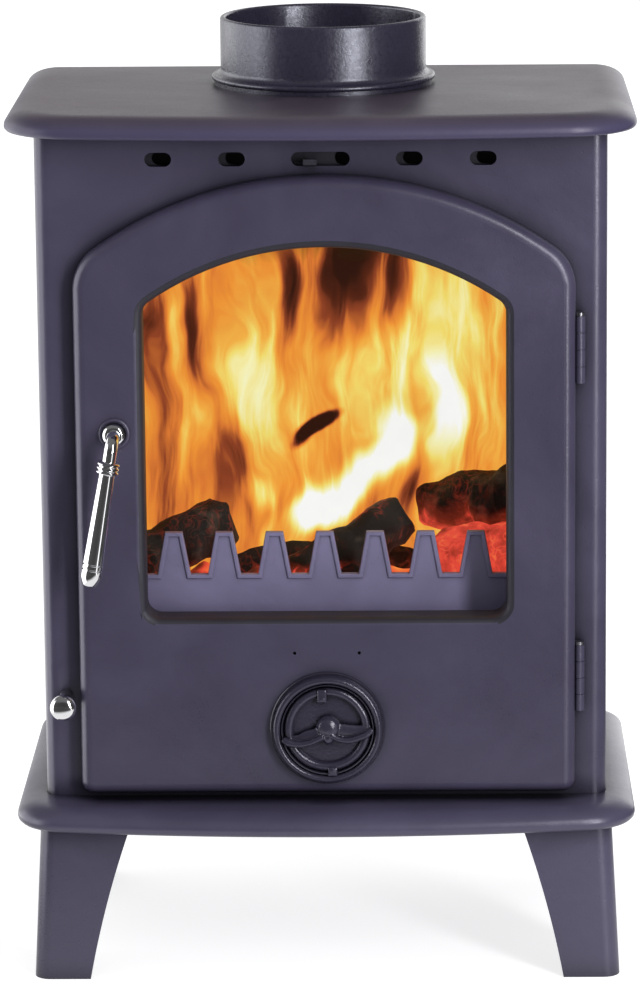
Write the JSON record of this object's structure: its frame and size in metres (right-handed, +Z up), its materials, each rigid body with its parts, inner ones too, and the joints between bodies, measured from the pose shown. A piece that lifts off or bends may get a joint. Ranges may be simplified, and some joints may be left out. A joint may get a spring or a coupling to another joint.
{
  "type": "small cast-iron box stove",
  "caption": "Small box-shaped cast-iron stove with an arched glazed door, bowed top and base plates, a top flue collar and tapered legs.",
  "frame": {"origin": "on the floor, under the middle of the top and base plates, the bow of their front edges included", "axes": "+X across the front towards the hinge side, +Y from the front to the back, +Z up"},
  "size_m": [0.378, 0.259, 0.5755],
  "materials": {
    "iron": "satin stove paint with a bluish violet cast",
    "inner_iron": "dull, heat-stained",
    "steel": "dull",
    "chrome": "bright",
    "brick": "matt",
    "glass": "clear ceramic glass",
    "rope": "woven glass-fibre rope"
  },
  "bodies": {
    "stove": {"base_plate": "iron", "leg_front_left": "iron", "leg_front_right": "iron", "leg_rear_left": "iron", "leg_rear_right": "iron", "leg_bolts": "steel", "front_plate": "iron", "left_side_plate": "iron", "right_side_plate": "iron", "back_plate": "iron", "tie_rods": "steel", "tie_nuts": "steel", "top_plate": "iron", "flue_collar": "iron", "collar_bolts": "steel", "rear_flue_cover": "iron", "rear_cover_bolts": "steel", "slider_rails": "steel", "airwash_plate": "inner_iron", "grate_frame": "inner_iron", "fire_fence": "inner_iron", "left_brick": "brick", "right_brick": "brick", "back_brick": "brick", "baffle": "brick", "upper_frame_leaf": "steel", "lower_frame_leaf": "steel", "upper_hinge_pin": "steel", "lower_hinge_pin": "steel"},
    "door": {"door": "iron", "door_glass": "glass", "glass_gasket": "rope", "glass_clips": "steel", "clip_screws": "steel", "door_rope": "rope", "upper_door_leaf": "steel", "lower_door_leaf": "steel", "handle_rose": "chrome"},
    "handle": {"handle_spindle": "steel", "handle_lever": "chrome", "latch_cam": "steel", "cam_nut": "steel"},
    "wheel_stud": {"wheel_stud": "steel"},
    "air_wheel": {"air_wheel": "iron"},
    "air_slider": {"air_slider": "steel"},
    "riddling_gear": {"riddling_rod": "steel", "riddling_knob": "chrome", "riddling_link": "steel", "riddling_grate": "inner_iron"},
    "ash_pan": {"ash_pan": "steel", "ash_pan_handle": "steel"}
  },
  "joints": [
    {"name": "door_swing", "type": "hinge", "parent": "stove", "child": "door", "pos_m": [0.1545, -0.0838, 0.3], "axis": [0, 0, 1], "range_deg": [0, 120]},
    {"name": "handle_turn", "type": "hinge", "parent": "door", "child": "handle", "pos_m": [-0.125, -0.113, 0.3395], "axis": [0, 1, 0], "range_deg": [0, 90]},
    {"name": "wheel_slide", "type": "slide", "parent": "door", "child": "wheel_stud", "axis": [0, -1, 0], "range_m": [0, 0.008]},
    {"name": "wheel_turn", "type": "hinge", "parent": "wheel_stud", "child": "air_wheel", "pos_m": [0.0015, -0.1, 0.1562], "axis": [0, 1, 0], "range_deg": [0, 1440]},
    {"name": "air_slide", "type": "slide", "parent": "stove", "child": "air_slider", "axis": [1, 0, 0], "range_m": [-0.004, 0.012]},
    {"name": "riddle_pull", "type": "slide", "parent": "stove", "child": "riddling_gear", "axis": [0, -1, 0], "range_m": [0, 0.025]},
    {"name": "ash_pan_pull", "type": "slide", "parent": "stove", "child": "ash_pan", "axis": [0, -1, 0], "range_m": [0, 0.15]}
  ],
  "couplings": [
    {"joint": "wheel_slide", "follows": "wheel_turn", "m_per_rad": 0.000318},
    {"joint": "ash_pan_pull", "follows": "door_swing", "m_per_rad": 0.0716}
  ]
}
